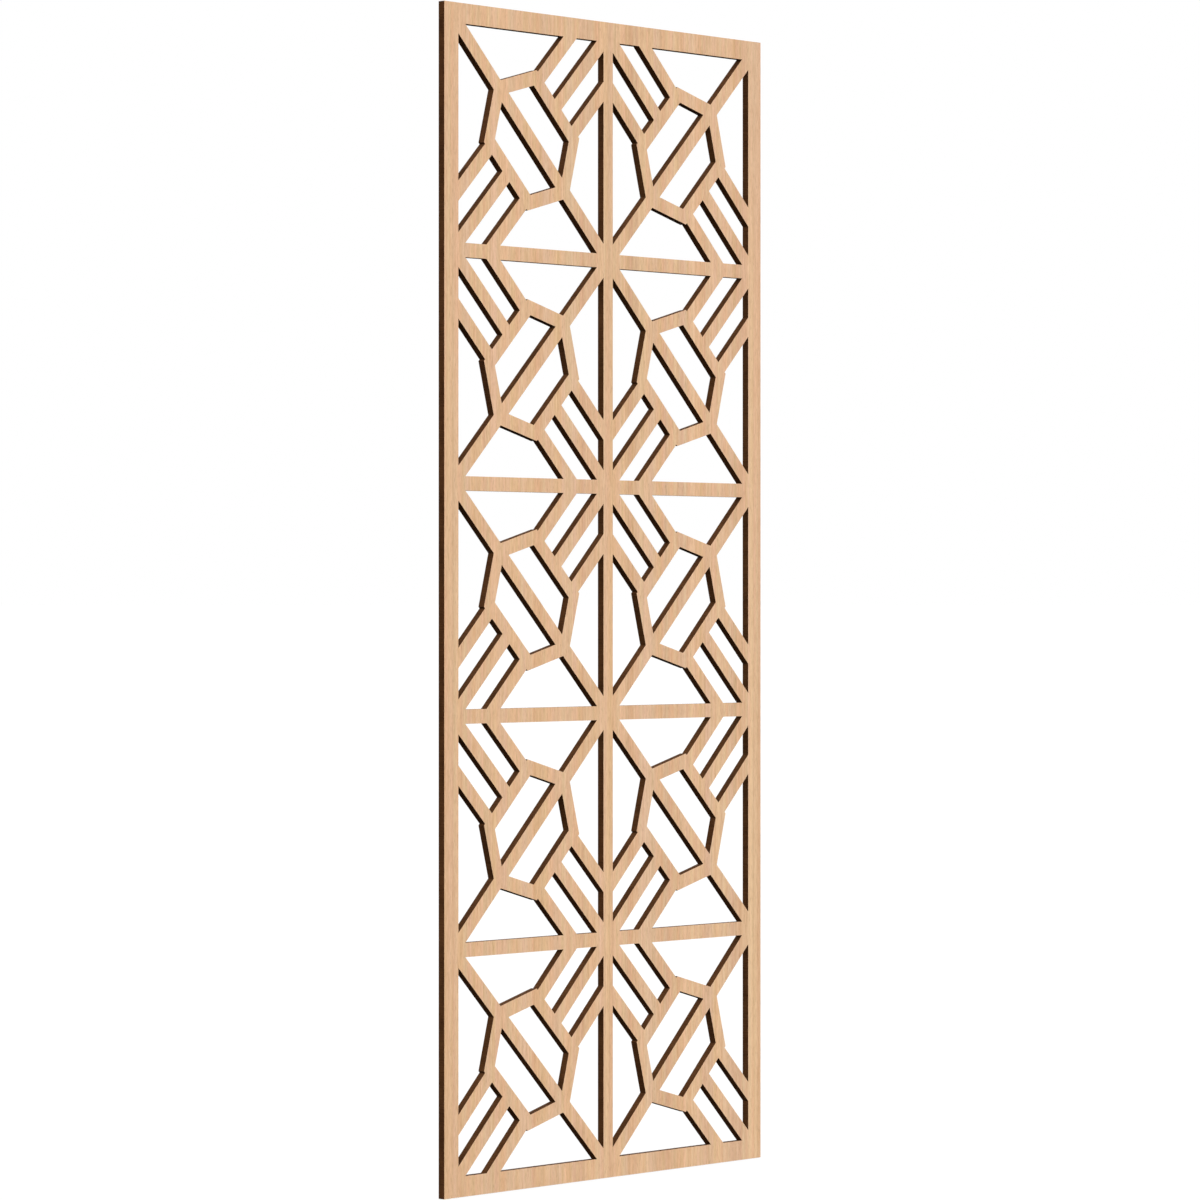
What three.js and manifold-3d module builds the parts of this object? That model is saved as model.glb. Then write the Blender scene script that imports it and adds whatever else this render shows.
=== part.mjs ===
// A mashrabiya panel: one flat sheet of veneered wood, sawn right through into a lattice.
// The openings repeat over square tiles, two across and five up, inside a plain border.
// Millimetres, +Z up. The origin is at the centre of the back face, on the upright centre
// bar, and the show face looks along -Y.

import * as THREE from "three";
import { mergeVertices } from "three/addons/utils/BufferGeometryUtils.js";
import Module from "manifold-3d";

// Sheet and lattice
const SHEET_THICKNESS = 9.5; // a 3/8 inch board
const COLUMNS = 2;
const ROWS = 5;
const TILE_PITCH = 281; // from the centre line of one straight bar to the next
const BAR_WIDTH = 17.4; // every bar and rib of the lattice
const BORDER_WIDTH = 24.7; // solid margin around the whole lattice

// The six-sided ring in the middle of each tile, drawn out along the tile's diagonal rib.
// All six corners are 120 degrees, so the four short sides lie 60 degrees off the long ones.
const RING_LONG_SIDE = 67; // from the tile's centre to the outer edge of a long side
const RING_SHORT_SIDE = 81.4; // from the tile's centre to the outer edge of a short side
const RING_TURN = Math.PI / 3; // between a long side and a short side

// Side ribs, which run out from a long side of the ring, square to it
const SIDE_RIB_OFFSET = 43.9; // from the tile's centre line to the rib's centre line

// How far the saw cuts past each face of the sheet
const CUT_PAST = 5;

// Sizes that follow
const HALF_BAR = BAR_WIDTH / 2;
const PANEL_WIDTH = COLUMNS * TILE_PITCH - BAR_WIDTH + 2 * BORDER_WIDTH;
const PANEL_HEIGHT = ROWS * TILE_PITCH - BAR_WIDTH + 2 * BORDER_WIDTH;
const TILE_REACH = (TILE_PITCH - BAR_WIDTH) / Math.SQRT2; // tile's centre to its clear corner
const RIB_INNER_EDGE = SIDE_RIB_OFFSET - HALF_BAR;
const RIB_OUTER_EDGE = SIDE_RIB_OFFSET + HALF_BAR;

const wasm = await Module();
wasm.setup();

// Within a tile a point is given by two distances from the tile's centre: along the
// diagonal rib, and across it. Outlines are worked out for one quarter of the tile.

// How far along the rib a short side of the ring lies, at a given distance across.
// inset is 0 on the side's outer edge and BAR_WIDTH on its inner edge.
function ringEnd(across, inset) {
  return (RING_SHORT_SIDE - inset - across * Math.cos(RING_TURN)) / Math.sin(RING_TURN);
}

// Half of the ring's inside: a trapezium between the diagonal rib and a long side.
function ringOpening() {
  const longSide = RING_LONG_SIDE - BAR_WIDTH;
  const atRib = ringEnd(HALF_BAR, BAR_WIDTH);
  const atLongSide = ringEnd(longSide, BAR_WIDTH);
  return [
    [-atRib, HALF_BAR],
    [atRib, HALF_BAR],
    [atLongSide, longSide],
    [-atLongSide, longSide],
  ];
}

// The slot between a side rib and the rib that runs to the tile's corner.
function slotOpening() {
  return [
    [HALF_BAR, RING_LONG_SIDE],
    [RIB_INNER_EDGE, RING_LONG_SIDE],
    [RIB_INNER_EDGE, TILE_REACH - RIB_INNER_EDGE],
    [HALF_BAR, TILE_REACH - HALF_BAR],
  ];
}

// The large opening between a side rib, a short side of the ring, the diagonal rib and a
// straight bar. The ring's corner stands a little past the side rib, as a short step.
function cornerOpening() {
  return [
    [RIB_OUTER_EDGE, RING_LONG_SIDE],
    [ringEnd(RING_LONG_SIDE, 0), RING_LONG_SIDE],
    [ringEnd(HALF_BAR, 0), HALF_BAR],
    [TILE_REACH - HALF_BAR, HALF_BAR],
    [RIB_OUTER_EDGE, TILE_REACH - RIB_OUTER_EDGE],
  ];
}

// All ten openings of a tile: each quarter's outline is flipped to the other quarters.
function tileOpenings() {
  const flip = (outline, a, b) => outline.map(([along, across]) => [along * a, across * b]);
  const openings = [];
  for (const b of [-1, 1]) {
    openings.push(flip(ringOpening(), 1, b));
    for (const a of [-1, 1]) {
      openings.push(flip(slotOpening(), a, b));
      openings.push(flip(cornerOpening(), a, b));
    }
  }
  return openings;
}

// Diagonal ribs of neighbouring tiles mirror each other, so that they zigzag up the panel
// and meet, tile by tile, at the centre bar and at the border.
function openingShape(outline, column, row) {
  const centreX = (column - (COLUMNS - 1) / 2) * TILE_PITCH;
  const centreZ = (row - (ROWS - 1) / 2) * TILE_PITCH;
  const handX = column % 2 === 0 ? 1 : -1;
  const handZ = row % 2 === 0 ? 1 : -1;
  const points = outline.map(([along, across]) => {
    const x = (along + across) / Math.SQRT2;
    const z = (across - along) / Math.SQRT2;
    return new THREE.Vector2(centreX + handX * x, centreZ + handZ * z);
  });
  return new THREE.Shape(points);
}

// A closed three.js geometry as a solid that can be cut, and back again
function toSolid(geometry) {
  geometry.deleteAttribute("normal");
  geometry.deleteAttribute("uv");
  const merged = mergeVertices(geometry);
  const vertProperties = new Float32Array(merged.attributes.position.array);
  const triVerts = new Uint32Array(merged.index.array);
  return new wasm.Manifold(new wasm.Mesh({ numProp: 3, vertProperties, triVerts }));
}

function toGeometry(solid) {
  const { vertProperties, triVerts } = solid.getMesh();
  const geometry = new THREE.BufferGeometry();
  geometry.setAttribute("position", new THREE.BufferAttribute(vertProperties, 3));
  geometry.setIndex(new THREE.BufferAttribute(triVerts, 1));
  return geometry;
}

// One cutter for each opening, longer than the sheet is thick
function openingCutter(outline, column, row) {
  const depth = SHEET_THICKNESS + 2 * CUT_PAST;
  const shape = openingShape(outline, column, row);
  const geometry = new THREE.ExtrudeGeometry(shape, { depth, bevelEnabled: false });
  geometry.translate(0, 0, -depth / 2);
  return toSolid(geometry);
}

// The sheet lies flat while it is sawn, and is then stood up with its back face at y = 0.
function latticePanel() {
  let sheet = toSolid(new THREE.BoxGeometry(PANEL_WIDTH, PANEL_HEIGHT, SHEET_THICKNESS));
  const outlines = tileOpenings();
  for (let column = 0; column < COLUMNS; column += 1) {
    for (let row = 0; row < ROWS; row += 1) {
      for (const outline of outlines) {
        sheet = sheet.subtract(openingCutter(outline, column, row));
      }
    }
  }
  const geometry = toGeometry(sheet);
  geometry.rotateX(Math.PI / 2);
  geometry.translate(0, -SHEET_THICKNESS / 2, 0);
  geometry.computeVertexNormals();
  const veneer = new THREE.MeshStandardMaterial({ color: 0xddb591, roughness: 0.6, metalness: 0 });
  const mesh = new THREE.Mesh(geometry, veneer);
  mesh.name = "lattice_panel";
  return mesh;
}

const screen = new THREE.Group();
screen.add(latticePanel());

export default screen;
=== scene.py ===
import math

import bmesh
import bpy
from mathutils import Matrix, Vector


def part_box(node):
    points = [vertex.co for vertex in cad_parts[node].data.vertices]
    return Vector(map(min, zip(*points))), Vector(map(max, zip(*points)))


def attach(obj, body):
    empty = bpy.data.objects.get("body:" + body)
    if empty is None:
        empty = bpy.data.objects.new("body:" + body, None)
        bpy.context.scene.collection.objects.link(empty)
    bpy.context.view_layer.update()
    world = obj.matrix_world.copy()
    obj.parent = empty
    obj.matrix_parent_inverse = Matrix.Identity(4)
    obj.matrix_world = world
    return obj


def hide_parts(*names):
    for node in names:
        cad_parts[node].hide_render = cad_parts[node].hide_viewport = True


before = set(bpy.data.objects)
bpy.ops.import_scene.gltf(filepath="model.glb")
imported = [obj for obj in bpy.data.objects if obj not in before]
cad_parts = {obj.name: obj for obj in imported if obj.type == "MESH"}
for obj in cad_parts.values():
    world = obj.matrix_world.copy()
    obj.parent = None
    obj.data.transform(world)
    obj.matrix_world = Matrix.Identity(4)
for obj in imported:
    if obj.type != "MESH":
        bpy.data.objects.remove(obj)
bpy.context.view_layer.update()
low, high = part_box("lattice_panel")
bpy.ops.object.select_all(action="DESELECT")


# --- Lattice board: setting out one tile --------------------------------------------------
# The screen is one veneered board, sawn right through. Its pattern is a square tile with
# a diagonal rib, a six-sided ring drawn out along that rib, and three side ribs from each
# long side of the ring to the tile's other two corners.
PITCH = 0.281  # from the centre line of one straight bar to the next
BAR = 0.0174  # width of every bar and rib
RING_SIDE = 0.067  # from the tile's centre to the outside of the ring's long sides
RING_END = 0.0814  # from the tile's centre to the outside of its short sides
RING_TURN = math.radians(60)  # between a long side and a short side
RIB_OFFSET = 0.0439  # from the tile's centre line to the middle of a side rib

ALONG = Vector((1, 0, -1)).normalized()  # down the diagonal rib
ACROSS = Vector((1, 0, 1)).normalized()
clear = (PITCH - BAR) / 2  # from the tile's centre to a straight bar
ribs = (-RIB_OFFSET, 0, RIB_OFFSET)
face_y = low.y

bpy.ops.mesh.primitive_plane_add(
    size=PITCH, location=(0, face_y, 0), rotation=(math.radians(90), 0, 0)
)
tile = bpy.context.object
bpy.ops.object.transform_apply(location=True, rotation=True)


def rule(direction, distance):
    """Rules a saw line right across the tile, at a distance from its centre."""
    bpy.ops.mesh.select_all(action="SELECT")
    bpy.ops.mesh.bisect(
        plane_co=Vector((0, face_y, 0)) + direction * distance, plane_no=direction
    )


bpy.ops.object.mode_set(mode="EDIT")
for side in (-1, 1):
    rule(Vector((1, 0, 0)), side * clear)
    rule(Vector((0, 0, 1)), side * clear)
    rule(ACROSS, side * BAR / 2)
    rule(ACROSS, side * RING_SIDE)
    rule(ACROSS, side * (RING_SIDE - BAR))
    for rib in ribs:
        rule(ALONG, rib + side * BAR / 2)
    for lean in (-1, 1):
        end = ALONG * math.sin(RING_TURN) + ACROSS * lean * math.cos(RING_TURN)
        rule(end, side * RING_END)
        rule(end, side * (RING_END - BAR))


def is_wood(point):
    """Wood stays on the straight bars, the diagonal rib, the ring and the side ribs."""
    along = abs(point.dot(ALONG))
    across = abs(point.dot(ACROSS))
    to_end = along * math.sin(RING_TURN) + across * math.cos(RING_TURN)
    straight = max(abs(point.x), abs(point.z)) > clear
    diagonal = across < BAR / 2
    in_ring = across < RING_SIDE and to_end < RING_END
    in_hollow = across < RING_SIDE - BAR and to_end < RING_END - BAR
    side_rib = across > RING_SIDE and any(abs(along - rib) < BAR / 2 for rib in ribs)
    return straight or diagonal or side_rib or (in_ring and not in_hollow)


shape = bmesh.from_edit_mesh(tile.data)
for face in shape.faces:
    face.select_set(not is_wood(face.calc_center_median()))
bmesh.update_edit_mesh(tile.data)
bpy.ops.mesh.delete(type="FACE")
bpy.ops.object.mode_set(mode="OBJECT")


# --- Lattice board: the whole sheet -------------------------------------------------------
# Two columns of five tiles are laid side by side, each turned over from its neighbours so
# that the diagonals zigzag up the board, and a plain border is drawn out round them. The
# sheet is then given its thickness.
COLUMNS = 2
ROWS = 5
X, Z = 0, 2  # places of the two axes in a point
TOUCHING = 0.00001  # points closer than this are in the same place

sheets = []
for column in range(COLUMNS):
    for row in range(ROWS):
        bpy.ops.object.select_all(action="DESELECT")
        tile.select_set(True)
        bpy.context.view_layer.objects.active = tile
        bpy.ops.object.duplicate()
        sheet = bpy.context.object
        across_by = (column - (COLUMNS - 1) / 2) * PITCH
        up_by = (row - (ROWS - 1) / 2) * PITCH
        sheet.location = (across_by, 0, up_by)
        sheet.scale = ((-1) ** column, 1, (-1) ** row)
        bpy.ops.object.transform_apply(location=True, scale=True)
        sheets.append(sheet)
bpy.data.objects.remove(tile)
for sheet in sheets:
    sheet.select_set(True)
bpy.ops.object.join()
panel = bpy.context.object
panel.name = "lattice_board"
panel.data.name = "lattice_board"

bpy.ops.object.mode_set(mode="EDIT")
bpy.context.tool_settings.mesh_select_mode = (False, True, False)
bpy.ops.mesh.select_all(action="SELECT")
bpy.ops.mesh.remove_doubles(threshold=TOUCHING)
bpy.ops.mesh.normals_make_consistent(inside=False)
shape = bmesh.from_edit_mesh(panel.data)
shape.faces.ensure_lookup_table()
if shape.faces[0].normal.y > 0:
    bpy.ops.mesh.flip_normals()


def draw_out(axis, start, end):
    """Draws the outer edges on one side of the sheet out to the board's own edge there."""
    outline = bmesh.from_edit_mesh(panel.data)
    bpy.ops.mesh.select_all(action="DESELECT")
    for edge in outline.edges:
        edge.select_set(all(abs(vert.co[axis] - start) < TOUCHING for vert in edge.verts))
    bmesh.update_edit_mesh(panel.data)
    move = [0, 0, 0]
    move[axis] = end - start
    bpy.ops.mesh.extrude_region_move(TRANSFORM_OT_translate={"value": move})


draw_out(X, -PITCH * COLUMNS / 2, low.x)
draw_out(X, PITCH * COLUMNS / 2, high.x)
draw_out(Z, -PITCH * ROWS / 2, low.z)
draw_out(Z, PITCH * ROWS / 2, high.z)
bpy.ops.object.mode_set(mode="OBJECT")

FACE, SAWN, BACK = 0, 1, 2  # the board's three finishes, in this order
for name in ("face_veneer", "sawn_edge", "back_veneer"):
    finish = bpy.data.materials.new(name)
    finish.use_nodes = True
    panel.data.materials.append(finish)

board = panel.modifiers.new("board", "SOLIDIFY")
board.thickness = high.y - low.y
board.offset = -1
board.material_offset_rim = SAWN
board.material_offset = BACK
bpy.ops.object.modifier_apply(modifier=board.name)

# The arrises of both faces are just taken off with fine paper: on the show face down to
# clean veneer, on the back in the sawn edges' painted shade. Sawn corners stay crisp.
ARRIS = 0.0001
SHARP = math.radians(60)  # an edge that turns more than this is an arris

for arris_y, finish_slot in ((low.y, FACE), (high.y, SAWN)):
    bpy.ops.object.mode_set(mode="EDIT")
    bpy.ops.mesh.select_all(action="DESELECT")
    outline = bmesh.from_edit_mesh(panel.data)
    for edge in outline.edges:
        on_face = all(abs(vert.co.y - arris_y) < TOUCHING for vert in edge.verts)
        edge.select_set(on_face and edge.calc_face_angle(0) > SHARP)
    bmesh.update_edit_mesh(panel.data)
    bpy.ops.mesh.bevel(
        offset=ARRIS, segments=2, affect="EDGES", clamp_overlap=False, material=finish_slot
    )
    bpy.ops.object.mode_set(mode="OBJECT")

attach(panel, "root")
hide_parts("lattice_panel")


# --- Wood grain ---------------------------------------------------------------------------
# The veneer is straight-grained and runs upright through the whole board, bars and ribs
# alike. Bands, streaks, dashes, fibres and pores lie on top of one another, each narrower
# than the one before. Warmth and blush are bands in which the wood changes its colour cast.

# How many of each layer fit in a metre across the board and up it, and how detailed it is
GRAIN_LAYERS = {
    "Bands": (34, 0.25, 1),
    "Streaks": (300, 0.7, 2),
    "Dashes": (430, 50, 2),
    "Fibres": (1500, 60, 2),
    "Pores": (2300, 150, 0),
    "Warmth": (62, 0.9, 2),
    "Blush": (120, 1.3, 2),
}
LAYER_STEP = 7.3  # keeps the layers' patterns apart
PORE_START, PORE_FULL = 0.64, 0.74  # only the peaks of the pore layer are pores
DRIFT_ACROSS = 3  # how often in a metre the grain drifts aside, across the board and up it
DRIFT_UP = 1.6


def put(tree, kind, inputs, **settings):
    """Adds a node. Each input takes a plain value, or the output that feeds it."""
    made = tree.nodes.new(kind)
    for name, value in settings.items():
        setattr(made, name, value)
    for name, value in inputs.items():
        if isinstance(value, bpy.types.NodeSocket):
            tree.links.new(value, made.inputs[name])
        else:
            made.inputs[name].default_value = value
    return made


def maths(tree, operation, *values):
    """A sum of one kind or another, on plain values or outputs."""
    return put(tree, "ShaderNodeMath", dict(enumerate(values)), operation=operation).outputs[0]


def noise(tree, place, detail):
    """A soft random pattern with about one feature to each unit of place."""
    inputs = {"Vector": place, "Scale": 1, "Detail": detail}
    return put(tree, "ShaderNodeTexNoise", inputs).outputs[0]


def stretch(tree, value, least, most, top=1):
    """A value's range from least to most, spread out from nothing to top."""
    inputs = {"Value": value, "From Min": least, "From Max": most, "To Max": top}
    return put(tree, "ShaderNodeMapRange", inputs).outputs[0]


def new_group(name, takes, gives):
    """An empty shader node group, with its input and output nodes in place."""
    tree = bpy.data.node_groups.new(name, "ShaderNodeTree")
    for socket, kind in takes.items():
        tree.interface.new_socket(socket, in_out="INPUT", socket_type=kind)
    for socket in gives:
        tree.interface.new_socket(socket, in_out="OUTPUT", socket_type="NodeSocketFloat")
    return tree, tree.nodes.new("NodeGroupInput").outputs, tree.nodes.new("NodeGroupOutput")


grain, given, result = new_group(
    "upright_grain",
    {"Place": "NodeSocketVector", "Leaf": "NodeSocketFloat", "Wander": "NodeSocketFloat"},
    GRAIN_LAYERS,
)
place = put(grain, "ShaderNodeSeparateXYZ", {"Vector": given["Place"]}).outputs


def spot(x, leaf, across_count, up_count):
    """A place on the board, counted in features across it and up it."""
    counts = {
        "X": maths(grain, "MULTIPLY", x, across_count),
        "Y": leaf,
        "Z": maths(grain, "MULTIPLY", place["Z"], up_count),
    }
    return put(grain, "ShaderNodeCombineXYZ", counts).outputs[0]


drift = noise(grain, spot(place["X"], given["Leaf"], DRIFT_ACROSS, DRIFT_UP), 1)
aside = maths(grain, "MULTIPLY", maths(grain, "SUBTRACT", drift, 0.5), given["Wander"])
wandered_x = maths(grain, "ADD", place["X"], aside)
for layer, (layer_name, (across_count, up_count, detail)) in enumerate(GRAIN_LAYERS.items()):
    leaf = maths(grain, "ADD", given["Leaf"], LAYER_STEP * layer)
    value = noise(grain, spot(wandered_x, leaf, across_count, up_count), detail)
    if layer_name == "Pores":
        value = stretch(grain, value, PORE_START, PORE_FULL)
    grain.links.new(value, result.inputs[layer_name])


# --- Face and back veneer -----------------------------------------------------------------
# Pale pinkish wood under a thin satin lacquer, which leaves the pores a little open. The
# back has another leaf of the same wood, laid plainer and left duller.
def light_of(share):
    """How much light a value on the usual colour scale stands for, both from 0 to 1."""
    if share < 0.04045:
        return share / 12.92
    return ((share + 0.055) / 1.055) ** 2.4


def tint(red, green, blue):
    """A colour on the usual 0 to 255 scale, as the shader takes it."""
    return (*(light_of(value / 255) for value in (red, green, blue)), 1)


def mix(tree, share, first, second, blend="MIX"):
    """Two colours mixed. Inputs 0, 6 and 7 are the share and the colours, output 2 the mix."""
    inputs = {0: share, 6: first, 7: second}
    settings = {"data_type": "RGBA", "blend_type": blend}
    return put(tree, "ShaderNodeMix", inputs, **settings).outputs[2]


PORE = tint(150, 105, 72)
PORE_SHARE = 0.35  # how strongly a pore shows
ROUGHNESS_SPREAD = 0.16  # from the smoothest fibre to the roughest
OPEN_GRAIN = 0.25  # how far the lacquer lets the relief show
GRAIN_RELIEF = 0.0001  # height of the dashes
FIBRE_RELIEF = 0.5  # height of the fibres, as a share of the dashes' height
SATIN = 0.3  # strength of the lacquer's gloss
# How much each layer deepens the wood's colour
DEPTH_SHARES = {"Bands": 0.22, "Streaks": 0.29, "Dashes": 0.26, "Fibres": 0.23}
# What the wood's colour is multiplied by at either end of a layer: warmth goes from golden
# to cool, and blush from greenish to pinkish.
CASTS = {
    "Warmth": (tint(255, 254, 244), tint(250, 254, 255)),
    "Blush": (tint(251, 255, 251), tint(255, 251, 255)),
}
NOISE_LOW, NOISE_HIGH = 0.36, 0.64  # taken as the least and the most of a layer of noise


def lay_veneer(finish, leaf, wander, pale, deep, roughness):
    """Gives a finish the colour, relief and roughness of one leaf of veneer."""
    tree = finish.node_tree
    where = put(tree, "ShaderNodeTexCoord", {}).outputs["Object"]
    figure = put(tree, "ShaderNodeGroup", {}, node_tree=grain)
    tree.links.new(where, figure.inputs["Place"])
    figure.inputs["Leaf"].default_value = leaf
    figure.inputs["Wander"].default_value = wander
    wood = figure.outputs

    depth = 0
    for name, share in DEPTH_SHARES.items():
        depth = maths(tree, "MULTIPLY_ADD", wood[name], share, depth)
    colour = mix(tree, stretch(tree, depth, NOISE_LOW, NOISE_HIGH), pale, deep)
    for name, (one_end, other_end) in CASTS.items():
        share = stretch(tree, wood[name], NOISE_LOW, NOISE_HIGH)
        colour = mix(tree, 1, colour, mix(tree, share, one_end, other_end), "MULTIPLY")
    colour = mix(tree, maths(tree, "MULTIPLY", wood["Pores"], PORE_SHARE), colour, PORE)

    smoothest = roughness - ROUGHNESS_SPREAD / 2
    rough = maths(tree, "MULTIPLY_ADD", wood["Fibres"], ROUGHNESS_SPREAD, smoothest)
    relief = maths(tree, "MULTIPLY_ADD", wood["Fibres"], FIBRE_RELIEF, wood["Dashes"])
    relief = maths(tree, "SUBTRACT", relief, wood["Pores"])
    raised = {"Strength": OPEN_GRAIN, "Distance": GRAIN_RELIEF, "Height": relief}
    bump = put(tree, "ShaderNodeBump", raised)

    shader = tree.nodes["Principled BSDF"]
    shader.inputs["Specular IOR Level"].default_value = SATIN
    tree.links.new(colour, shader.inputs["Base Color"])
    tree.links.new(rough, shader.inputs["Roughness"])
    tree.links.new(bump.outputs[0], shader.inputs["Normal"])


lay_veneer(
    bpy.data.materials["face_veneer"],
    leaf=3.1,
    wander=0.003,
    pale=tint(245, 205, 169),
    deep=tint(218, 170, 131),
    roughness=0.55,
)
lay_veneer(
    bpy.data.materials["back_veneer"],
    leaf=61.7,
    wander=0.01,
    pale=tint(236, 199, 162),
    deep=tint(208, 165, 128),
    roughness=0.68,
)


# --- Sawn edges ---------------------------------------------------------------------------
# The walls of every opening and the board's four edges are painted dark brown. This is
# painted shade: the brown stands for the shade those walls sit in. The cutter leaves fine
# ripples straight through the thickness, and the edge of each leaf of veneer shows as a
# slightly paler line within the painted shade.
RIPPLES = (700, 20, 700)  # how many in a metre along each axis
PATCHES = (45, 90, 45)  # the same for the darker and lighter patches of painted shade
# Painted shade: the sawn walls' darker and lighter brown, and the paler line of the veneer's edge
EDGE_SHADE_DARK = tint(66, 39, 18)
EDGE_SHADE_LIGHT = tint(91, 58, 32)
LEAF_EDGE = tint(112, 76, 46)
LEAF_SHARE = 0.3  # how much paler the leaf's own edge is
LEAF = 0.0006  # thickness of the veneer on either face
LEAF_BLUR = 0.0001  # the line fades out over this, either way
RIPPLE_RELIEF = 0.0001
RIPPLE_DEPTH = 0.3  # how far the relief shows
SAWN_ROUGHNESS = 0.85
SAWN_GLOSS = 0.05

edge_tree = bpy.data.materials["sawn_edge"].node_tree
where = put(edge_tree, "ShaderNodeTexCoord", {}).outputs["Object"]
ripple_place = put(edge_tree, "ShaderNodeMapping", {"Vector": where, "Scale": RIPPLES}).outputs[0]
ripples = noise(edge_tree, ripple_place, 2)
patch_place = put(edge_tree, "ShaderNodeMapping", {"Vector": where, "Scale": PATCHES}).outputs[0]
patches = noise(edge_tree, patch_place, 3)
# Painted shade, mottled between its darker and lighter brown
shade_mottle = maths(edge_tree, "MULTIPLY", maths(edge_tree, "ADD", ripples, patches), 0.5)
shade_mottle = stretch(edge_tree, shade_mottle, NOISE_LOW, NOISE_HIGH)
colour = mix(edge_tree, shade_mottle, EDGE_SHADE_DARK, EDGE_SHADE_LIGHT)

middle = (low.y + high.y) / 2
core = (high.y - low.y) / 2 - LEAF
through = put(edge_tree, "ShaderNodeSeparateXYZ", {"Vector": where}).outputs["Y"]
from_middle = maths(edge_tree, "ABSOLUTE", maths(edge_tree, "SUBTRACT", through, middle))
in_leaf = stretch(edge_tree, from_middle, core - LEAF_BLUR, core + LEAF_BLUR, LEAF_SHARE)
colour = mix(edge_tree, in_leaf, colour, LEAF_EDGE)

raised = {"Strength": RIPPLE_DEPTH, "Distance": RIPPLE_RELIEF, "Height": ripples}
bump = put(edge_tree, "ShaderNodeBump", raised)
shader = edge_tree.nodes["Principled BSDF"]
shader.inputs["Roughness"].default_value = SAWN_ROUGHNESS
shader.inputs["Specular IOR Level"].default_value = SAWN_GLOSS
edge_tree.links.new(colour, shader.inputs["Base Color"])
edge_tree.links.new(bump.outputs[0], shader.inputs["Normal"])


# --- Studio -------------------------------------------------------------------------------
# A white floor under the board's foot and a white sky, both just white and no brighter.
# One wide soft lamp shines from in front, above and to the left, and a weaker one from
# behind. The floor throws little light back, so the sawn edges that look down stay dark.
FLOOR_GAP = 0.001  # below the board's foot
FLOOR_SPREAD = 400  # the floor's radius, in heights of the board, so that its rim isn't seen
# The floor's paint and glow, as light finds them and as the camera sees them
PAINT_LIT, PAINT_SEEN = (0.02, 0.02, 0.02, 1), (0.1, 0.1, 0.1, 1)
GLOW_LIT, GLOW_SEEN = 0.05, 0.91
height = high.z - low.z

bpy.ops.mesh.primitive_circle_add(
    vertices=96,
    radius=FLOOR_SPREAD * height,
    fill_type="NGON",
    location=(0, 0, low.z - FLOOR_GAP),
)
floor = bpy.context.object
floor.name = "studio_floor"
paint = bpy.data.materials.new("studio_floor")
paint.use_nodes = True
floor.data.materials.append(paint)
paint_tree = paint.node_tree
seen = put(paint_tree, "ShaderNodeLightPath", {}).outputs["Is Camera Ray"]
shader = paint_tree.nodes["Principled BSDF"]
paint_tree.links.new(mix(paint_tree, seen, PAINT_LIT, PAINT_SEEN), shader.inputs["Base Color"])
shader.inputs["Roughness"].default_value = 1
shader.inputs["Specular IOR Level"].default_value = 0
shader.inputs["Emission Color"].default_value = (1, 1, 1, 1)
glow = maths(paint_tree, "MULTIPLY_ADD", seen, GLOW_SEEN - GLOW_LIT, GLOW_LIT)
paint_tree.links.new(glow, shader.inputs["Emission Strength"])

# The sky lights the board a little more from overhead than from below. The camera sees it
# white all over.
SKY_BELOW, SKY_OVERHEAD, SKY_SEEN = 1, 1.2, 1
world = bpy.data.worlds.new("studio_sky")
bpy.context.scene.world = world
world.use_nodes = True
sky = world.node_tree
way = put(sky, "ShaderNodeTexCoord", {}).outputs["Generated"]
up = put(sky, "ShaderNodeSeparateXYZ", {"Vector": way}).outputs["Z"]
spread = {"Value": up, "From Min": -1, "To Min": SKY_BELOW, "To Max": SKY_OVERHEAD}
light = put(sky, "ShaderNodeMapRange", spread).outputs[0]
seen = put(sky, "ShaderNodeLightPath", {}).outputs["Is Camera Ray"]
strength = put(sky, "ShaderNodeMix", {0: seen, 2: light, 3: SKY_SEEN}, data_type="FLOAT")
backdrop = sky.nodes["Background"]
backdrop.inputs["Color"].default_value = (1, 1, 1, 1)
sky.links.new(strength.outputs[0], backdrop.inputs["Strength"])

# Each lamp is given by the way towards it from the board, and how strong and wide it is.
LAMP_DISTANCE = 3  # in heights of the board
LAMPS = {
    "key_lamp": (Vector((-0.24, -0.86, 0.45)), 1.25, math.radians(16)),
    "back_lamp": (Vector((0.5, 0.86, 0.1)), 0.9, math.radians(30)),
}
for name, (way, strength, width) in LAMPS.items():
    bpy.ops.object.light_add(type="SUN", location=way * LAMP_DISTANCE * height)
    lamp = bpy.context.object
    lamp.name = name
    lamp.data.energy = strength
    lamp.data.angle = width
    lamp.rotation_mode = "QUATERNION"
    lamp.rotation_quaternion = way.to_track_quat("Z", "Y")


# --- Camera -------------------------------------------------------------------------------
# Level with the middle of the board, far off to its left, on a long lens.
VIEW_TURN = math.radians(48.506)  # from square on to the board
VIEW_DISTANCE = 6.1058  # metres
AIM = Vector((-0.0047, 0, 0))  # almost on the centre bar
LENS = 147.18  # millimetres, as is the film's width
FILM_WIDTH = 36

view_way = Vector((math.sin(VIEW_TURN), math.cos(VIEW_TURN), 0))
bpy.ops.object.camera_add(location=AIM - view_way * VIEW_DISTANCE)
camera = bpy.context.object
camera.rotation_mode = "QUATERNION"
camera.rotation_quaternion = (-view_way).to_track_quat("Z", "Y")
camera.data.lens = LENS
camera.data.sensor_width = FILM_WIDTH
bpy.context.scene.camera = camera
bpy.context.scene.view_settings.view_transform = "Standard"
